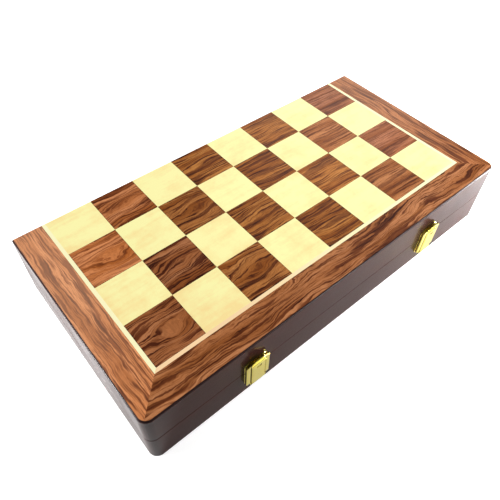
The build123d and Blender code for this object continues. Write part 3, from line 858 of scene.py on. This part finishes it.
def bed(across, along, foot_half, body_half, height):
    """Depth of the bed of one man: a round trough for the foot, then a narrower one for the body, whose
    depth is the radius times one minus the squared share of the way across, to the power 0.7."""
    def trough(radius, start, end):
        share = np.clip(np.abs(across) / (radius + 0.9), 0.0, 1.0)
        ends = smooth(along, start - 1.1, start + 0.1) * smooth(-along, -end - 1.1, -end + 0.1)
        return (radius + 0.25) * (1.0 - share**2) ** 0.7 * ends
    return np.maximum(trough(foot_half, 0.0, 4.6), trough(body_half, 0.0, height))


def foam_tray(name, node, body, dark):
    """A slab of foam whose top is the axis height less the deepest of the 16 beds and the finger trough,
    with soft edges. Its skirt and its underside close it."""
    xs = np.linspace(-LINER_HALF_LENGTH, LINER_HALF_LENGTH, 378)
    ys = np.linspace(-LINER_HALF_DEPTH, LINER_HALF_DEPTH, 178)
    x, y = np.meshgrid(xs, ys)
    place = np.clip(np.round(x / PITCH + 3.5), 0, 7).astype(int)
    across = x - file_middle(place)
    sizes = np.array([[FOOT_HALF[k], BODY_HALF[k], HEIGHTS[k]] for k in BACK_RANK])[place]
    officers = bed(across, MEN_BASE - y, sizes[..., 0], sizes[..., 1], sizes[..., 2])
    pawns = bed(across, MEN_BASE + y, FOOT_HALF["pawn"], BODY_HALF["pawn"], HEIGHTS["pawn"])
    between_rows = smooth(y, -26.6, -24.8) * smooth(-y, -1.6, 0.2)
    fingers = FINGER_TROUGH * between_rows * smooth(-np.abs(x), -126.8, -125.0)
    edge = np.minimum(LINER_HALF_LENGTH - np.abs(x), LINER_HALF_DEPTH - np.abs(y))
    shoulder = 0.9 * (1.0 - smooth(edge, -0.6, 2.2))
    give = 0.10 * np.sin(x / 9.0) * np.sin(y / 7.0) * smooth(edge, 0.0, 6.0)
    top = AXIS_HEIGHT - 0.12 - shoulder + give - np.maximum(np.maximum(officers, pawns), fingers)
    top = np.minimum(top, AXIS_HEIGHT)
    index = numbered(*top.shape)
    quads = cells(index).reshape(-1, 4)
    rim = np.concatenate([index[0, :-1], index[:-1, -1], index[-1, :0:-1], index[:0:-1, 0]])
    points = np.stack([x, y, top], axis=-1).reshape(-1, 3)
    below = points[rim].copy()
    below[:, 2] = LINER_FLOOR
    under = index.size + np.arange(len(rim))
    skirt = np.stack([rim, under, np.roll(under, -1), np.roll(rim, -1)], axis=-1)
    points = np.concatenate([points, below])
    if dark:
        points[:, 2] = 2 * PARTING - points[:, 2]
    skin = (points, np.concatenate([quads, skirt]), under[None, ::-1])
    tray = new_piece(name, [skin], flock, body, "flocked_foam", node, sharp=60.0)


foam_tray("lower_foam_tray", "lower_liner", "base", False)
foam_tray("upper_foam_tray", "upper_liner", "lid", True)


# Brass fittings

SHEET = 0.7
PLATE = 0.8
HALF_PLATE = 8.4
LEVER_HALF = 8.5
PANEL_HALF = 4.95
STRIP_OUT = 2.9
PANEL_RISE = 0.6
LEVER_LOW = 13.4
LEVER_HIGH = 33.0
SLOT_MIDDLE = 29.5
SLOT_HALF_WIDTH = 1.8
SLOT_HALF_HEIGHT = 1.1
TIP_HALF = 3.0
SHOULDER_RISE = 3.1
PIVOT_HEIGHT = 12.0
PIVOT_OUT = 2.0
CURL_RADIUS = 1.5
NECK_HEIGHTS = (12.2, 12.8)
HINGE_MIDDLE = 95.0
PIN_PAST_WALL = 0.1
KNUCKLE_RADIUS = 1.699
PIN_BORE = 0.83
LEAF_HALF = 10.0
LEAF_FAR = 6.8
LEAF_NEAR = 1.55
SCREW_HOLES = (-6.0, 6.0)
HINGE_SCREW_IN = 4.25
LATCH_SCREW_OFF = 4.0
HINGE_HEAD = 1.8
LATCH_HEAD = 1.3


def moved_along(skins, x):
    """Skins moved along X."""
    return [(points + np.array([x, 0.0, 0.0]), *kinds) for points, *kinds in skins]


def tube(radius, bore, start, end, y, z, edge=0.15, around=36):
    """A knuckle: a ring section turned round the pin."""
    turn = np.linspace(0.0, 2.0 * np.pi, around, endpoint=False)
    section = np.array([(start, bore), (start, radius - edge), (start + edge, radius), (end - edge, radius),
                        (end, radius - edge), (end, bore)])
    x, size = section[:, 0, None], section[:, 1, None]
    return looped(np.stack([x + 0.0 * turn, y + size * np.cos(turn), z + size * np.sin(turn)], axis=-1))


def slotted_head(radius, place, spin, around=40):
    """A screw's head: flat, with an eased rim, and lower where the distance from its slot's middle line is
    under half the slot's width. place(u, v, w) puts it, with w out of the surface."""
    turn = np.linspace(0.0, 2.0 * np.pi, around, endpoint=False)
    shares = np.concatenate([[1.0, 1.0, 0.97], np.linspace(0.92, 0.08, 12)])
    u, v = radius * shares[:, None] * np.cos(turn), radius * shares[:, None] * np.sin(turn)
    w = np.zeros_like(u)
    w[0], w[1], w[2] = -0.5, -0.06, -0.01
    from_slot = np.abs(u * np.sin(spin) - v * np.cos(spin))
    cut = 0.45 * (1.0 - smooth(from_slot, 0.20, 0.30))
    cut[0] = 0.0
    return capped(place(u, v, w - cut))


def catch_plate():
    """The upper plate with its far corners rounded, and the nib with its beak turned down."""
    plate = prism(corner_arcs(HALF_PLATE, 25.3, 34.2, (0.3, 0.3, 3.0, 3.0)), 0.0, PLATE, 0.16, facing_front)
    nib = np.array([(PLATE - 0.1, 28.8), (3.0, 28.8), (3.3, 29.0), (3.4, 29.5), (3.4, 30.1), (3.2, 30.2),
                    (PLATE - 0.1, 30.2)])
    return [plate, prism(nib, -1.4, 1.4, 0.15, along_x)]


def base_plate():
    """The lower plate, notched for the knuckle of the lever, with a round ear each side that holds the
    pin."""
    notch, notch_top = PANEL_HALF + 0.3, 13.75
    arcs = corner_arcs(HALF_PLATE, 10.5, 24.7, (3.0, 3.0, 0.3, 0.3))
    cut = np.array([(-notch, 10.5), (-notch, notch_top), (notch, notch_top), (notch, 10.5)])
    plate = prism(np.concatenate([arcs[:7], cut, arcs[7:]]), 0.0, PLATE, 0.16, facing_front)
    turn = np.radians(np.linspace(-90.0, 90.0, 15))
    nose = np.stack([PIVOT_OUT + 1.1 * np.cos(turn), PIVOT_HEIGHT + 1.1 * np.sin(turn)], axis=1)
    ear = np.concatenate([[(PLATE - 0.1, 11.6)], nose, [(PLATE - 0.1, 14.2)]])
    ears = [prism(ear, start, start + SHEET, 0.1, along_x) for start in (-notch - SHEET, notch)]
    return [plate, *ears]


def lever_section(across, panel_share):
    """How far the lever stands out of the wall across its width: two strips, a pressed groove each side and
    the raised middle panel, all with soft steps. The strips turn back into side flanges at their outer
    edges."""
    side = np.abs(across)
    panel = PANEL_RISE * (1.0 - smooth(side, PANEL_HALF - 0.35, PANEL_HALF)) * panel_share
    groove = 0.75 * np.exp(-((side - PANEL_HALF - 0.40) / 0.34) ** 4) * panel_share
    bend = 0.5 - np.sqrt(np.maximum(0.25 - np.maximum(side - LEVER_HALF + 0.5, 0.0) ** 2, 0.0))
    return STRIP_OUT + panel - groove - bend


def lever():
    """The stamped sheet of the lever as rows up its path. The path runs round the pin, up the face and out
    along the lip, whose width narrows to the beak. Side flanges hang from the face's two edges. Faces where
    the slot is are left out, and the sheet gets its thickness afterwards."""
    bend = LEVER_HALF - 0.5 + 0.5 * np.sin(np.linspace(0.1, 1.0, 6) * np.pi / 2)
    face = np.concatenate([np.linspace(0.0, 1.75, 6), np.linspace(1.85, 4.4, 5), np.linspace(4.6, 6.4, 15),
                           np.linspace(6.8, 7.9, 3), bend])
    across = np.concatenate([-face[:0:-1], face])
    curl = np.radians(np.linspace(250.0, 6.0, 20))
    slot_low, slot_high = SLOT_MIDDLE - SLOT_HALF_HEIGHT, SLOT_MIDDLE + SLOT_HALF_HEIGHT
    heights = np.concatenate([np.linspace(LEVER_LOW, slot_low, 12), np.linspace(slot_low, slot_high, 5),
                              np.linspace(slot_high, LEVER_HIGH, 9)])
    heights = np.unique(heights.round(4))
    rise = np.concatenate([np.linspace(0.0, 2.0, 6)[1:], np.linspace(2.0, 4.82, 6)[1:]])
    lean = np.where(rise < 1.55, rise**2 / 12.0, 0.20 + 0.268 * (rise - 1.55))

    rows, keep = [], []

    def add_row(u, out, level, kept):
        rows.append(np.stack(np.broadcast_arrays(u, out, level), axis=1))
        keep.append(kept)

    in_panel = np.abs(across) <= PANEL_HALF + 1e-6
    everywhere = np.ones_like(across, bool)
    for angle in curl:
        out, level = PIVOT_OUT + CURL_RADIUS * np.cos(angle), PIVOT_HEIGHT - CURL_RADIUS * np.sin(angle)
        add_row(across, out, level, in_panel)
    for level in NECK_HEIGHTS:
        add_row(across, STRIP_OUT + PANEL_RISE, level, in_panel)
    for level in heights:
        share = 1.0 - smooth(level, LEVER_HIGH - 1.3, LEVER_HIGH - 0.5)
        add_row(across, lever_section(across, share), level, everywhere)
    for up, out in zip(rise, lean):
        wide = LEVER_HALF - (LEVER_HALF - TIP_HALF) * min(up / SHOULDER_RISE, 1.0)
        wide -= 0.45 * max((up - 4.3) / 0.5, 0.0) ** 2
        squeezed = across * wide / LEVER_HALF
        add_row(squeezed, lever_section(across, 0.0) + out, LEVER_HIGH + up, everywhere)

    grid = np.array(rows)
    index = numbered(len(rows), len(across))
    kept = np.ravel(keep)[cells(index)].all(axis=-1)
    middle_u = (grid[:-1, :-1, 0] + grid[:-1, 1:, 0]) / 2
    middle_z = (grid[:-1, :-1, 2] + grid[1:, :-1, 2]) / 2
    slot = (np.abs(middle_u) < SLOT_HALF_WIDTH) & (np.abs(middle_z - SLOT_MIDDLE) < SLOT_HALF_HEIGHT)
    slot[: len(curl)] = False
    points, faces = [grid.reshape(-1, 3)], [cells(index)[kept & ~slot]]
    face_rows = len(curl) + len(NECK_HEIGHTS) + np.arange(len(heights))
    total = index.size
    for column, order in ((0, -1), (len(across) - 1, 1)):
        edge = grid[face_rows, column]
        depth = edge[:, 1, None] - np.linspace(0.0, edge[0, 1] - PLATE - 0.3, 4)[1:]
        flange = np.stack(np.broadcast_arrays(edge[:, 0, None], depth, edge[:, 2, None]), axis=-1)
        numbers = [index[face_rows, column][:, None], numbered(*depth.shape, total)]
        faces.append(cells(np.concatenate(numbers, axis=1)).reshape(-1, 4)[:, ::order])
        points.append(flange.reshape(-1, 3))
        total += depth.size
    used, faces = np.unique(np.concatenate(faces), return_inverse=True)
    u, out, up = np.concatenate(points)[used].T
    return facing_front(u, up, out), faces.reshape(-1, 4)


def pressed_lever(name, node, body, x):
    """The lever's sheet with its thickness and eased edges, at x."""
    points, faces = lever()
    mesh = bpy.data.meshes.new(name)
    mesh.from_pydata(((points + np.array([x, 0.0, 0.0])) * MM).tolist(), [], faces.tolist())
    mesh.polygons.foreach_set("use_smooth", np.ones(len(faces), bool))
    mesh.update()
    thing = settle(name, mesh, crease_shaded_brass, body, "bright_brass", node)
    wall = thing.modifiers.new("sheet", "SOLIDIFY")
    wall.thickness = 0.62 * MM
    wall.offset = -1.0
    ease = thing.modifiers.new("edges", "BEVEL")
    ease.width = 0.11 * MM
    ease.segments = 2
    ease.limit_method = "ANGLE"
    ease.angle_limit = math.radians(50.0)


def upright(x, y, z, up):
    """Points with u along X, v along Y and w up or down."""
    return lambda u, v, w: np.stack([x + u, y + v, z + up * w], axis=-1)


def outward(x, z):
    """Points with u along X, v up and w out of a latch plate."""
    return lambda u, v, w: np.stack([x + u, -HALF_DEPTH / MM - PLATE - w, z + v], axis=-1)


def fittings():
    """The latches, the hinge leaves with their knuckles, and the heads of the screws."""
    heads = {f"{kind}_screws_{level}": [] for kind in ("hinge", "latch") for level in ("lower", "upper")}
    leaves = (("lower", -1, "base", [(-LEAF_HALF, -3.45), (3.45, LEAF_HALF)]),
              ("upper", 1, "lid", [(-3.3, 3.3)]))
    pin_y = HALF_DEPTH / MM + PIN_PAST_WALL
    for number, (side, sign) in enumerate((("left", -1), ("right", 1))):
        latch_x, hinge_x = sign * LATCH_MIDDLE, sign * HINGE_MIDDLE
        new_piece(f"{side}_catch", moved_along(catch_plate(), latch_x), bright_brass, "lid", "bright_brass",
                  f"{side}_latch_catch")
        new_piece(f"{side}_base_plate", moved_along(base_plate(), latch_x), bright_brass, "base",
                  "bright_brass", f"{side}_latch_base")
        pressed_lever(f"{side}_lever", f"{side}_latch_lever", f"{side}_latch", latch_x)
        for level, up, body, knuckles in leaves:
            leaf = corner_arcs(LEAF_HALF, pin_y - LEAF_FAR, pin_y - LEAF_NEAR, (0.8, 0.8, 0.1, 0.1))
            skins = [prism(leaf, 0.0, 1.0, 0.10, upright(0.0, 0.0, PARTING, up))]
            skins += [tube(KNUCKLE_RADIUS, PIN_BORE, start, end, pin_y, PARTING) for start, end in knuckles]
            new_piece(f"{side}_{level}_leaf", moved_along(skins, hinge_x), satin_brass, body, "bright_brass",
                      f"{side}_hinge_{level}_leaf")
        for hole in SCREW_HOLES:
            spin = 0.7 + 1.9 * number + 0.4 * hole
            for level, up in (("lower", 1), ("upper", -1)):
                on_leaf = upright(hinge_x + hole, pin_y - HINGE_SCREW_IN, PARTING, up)
                on_plate = outward(latch_x + hole, PARTING - up * LATCH_SCREW_OFF)
                heads[f"hinge_screws_{level}"].append(slotted_head(HINGE_HEAD, on_leaf, spin))
                heads[f"latch_screws_{level}"].append(slotted_head(LATCH_HEAD, on_plate, spin))
    for node, skins in heads.items():
        body = "base" if node.endswith("lower") else "lid"
        new_piece(f"{node}_slotted", skins, satin_brass, body, "brass_fixings", node)


fittings()


# Camera, floor and light

camera_data = bpy.data.cameras.new("camera")
camera_data.sensor_width = 36.0
camera_data.lens = 36.729
camera_data.shift_x = -0.00481
camera_data.shift_y = -0.02206
camera_data.clip_start = 0.01
camera = placed("camera", camera_data)
camera.location = (-0.17146, -0.17270, 0.29412)
camera.rotation_euler = [math.radians(a) for a in (40.3865, -1.37395, -40.06743)]
scene.camera = camera


def white_floor():
    """A pale matt floor that shows white to the camera where it is lit and keeps the box's shadow."""
    made = bpy.data.materials.new("floor white")
    tree = emptied(made)
    matt = tree.put("ShaderNodeBsdfDiffuse", {"Color": (0.80, 0.80, 0.80, 1.0)})
    glow = tree.put("ShaderNodeEmission", {"Color": (1.0, 1.0, 1.0, 1.0)})
    rays = tree.put("ShaderNodeLightPath").outputs
    to_camera = tree.times(rays["Is Camera Ray"], 0.68)
    to_gloss = tree.times(rays["Is Glossy Ray"], 0.10)
    tree.feed(glow.inputs["Strength"], tree.math("MAXIMUM", to_camera, to_gloss))
    both = tree.put("ShaderNodeAddShader", {0: matt.outputs[0], 1: glow.outputs[0]})
    tree.put("ShaderNodeOutputMaterial", {0: both.outputs[0]})
    return made


FLOOR = 6.0
AMBIENT = 0.20

floor_mesh = bpy.data.meshes.new("floor")
floor_mesh.from_pydata([(-FLOOR, -FLOOR, 0), (FLOOR, -FLOOR, 0), (FLOOR, FLOOR, 0), (-FLOOR, FLOOR, 0)], [],
                       [(0, 1, 2, 3)])
floor_mesh.materials.append(white_floor())
placed("floor", floor_mesh)

world = bpy.data.worlds.new("studio")
scene.world = world
sky = emptied(world)
path = sky.put("ShaderNodeLightPath").outputs
seen = sky.math("MAXIMUM", path["Is Camera Ray"], path["Is Transmission Ray"])
strength = sky.add(AMBIENT, sky.times(seen, 1.0 - AMBIENT))
background = sky.put("ShaderNodeBackground", {"Color": (1.0, 1.0, 1.0, 1.0), "Strength": strength})
sky.put("ShaderNodeOutputWorld", {0: background.outputs[0]})


def sun(name, towards, strength, spread):
    """A soft lamp far off. towards is where it stands, seen from the box."""
    data = bpy.data.lights.new(name, "SUN")
    data.energy = strength
    data.angle = math.radians(spread)
    placed(name, data).rotation_euler = Vector(towards).to_track_quat("Z", "Y").to_euler()


def panel_lamp(name, place, aim, size, power):
    """A square soft lamp at a place, turned to a point."""
    data = bpy.data.lights.new(name, "AREA")
    data.energy = power
    data.size = size
    lamp = placed(name, data)
    lamp.visible_camera = False
    lamp.location = place
    lamp.rotation_euler = (Vector(place) - Vector(aim)).to_track_quat("Z", "Y").to_euler()


sun("key", towards=(-0.5, 0.6, 1.0), strength=2.35, spread=22)
panel_lamp("window", place=(0.60, 0.45, 0.50), aim=(0.05, 0.0, 0.05), size=0.50, power=3.4)
panel_lamp("right pool", place=(0.30, -0.15, 0.08), aim=(0.16, -0.10, 0.0), size=0.10, power=0.55)
panel_lamp("low right pool", place=(0.27, -0.17, 0.025), aim=(0.12, -0.08, 0.02), size=0.04, power=1.7)
panel_lamp("front pool", place=(0.12, -0.30, 0.045), aim=(0.09, -0.10, 0.0), size=0.08, power=1.6)
panel_lamp("left pool", place=(-0.32, 0.05, 0.025), aim=(-0.15, 0.03, 0.02), size=0.045, power=1.6)

scene.view_settings.view_transform = "Standard"
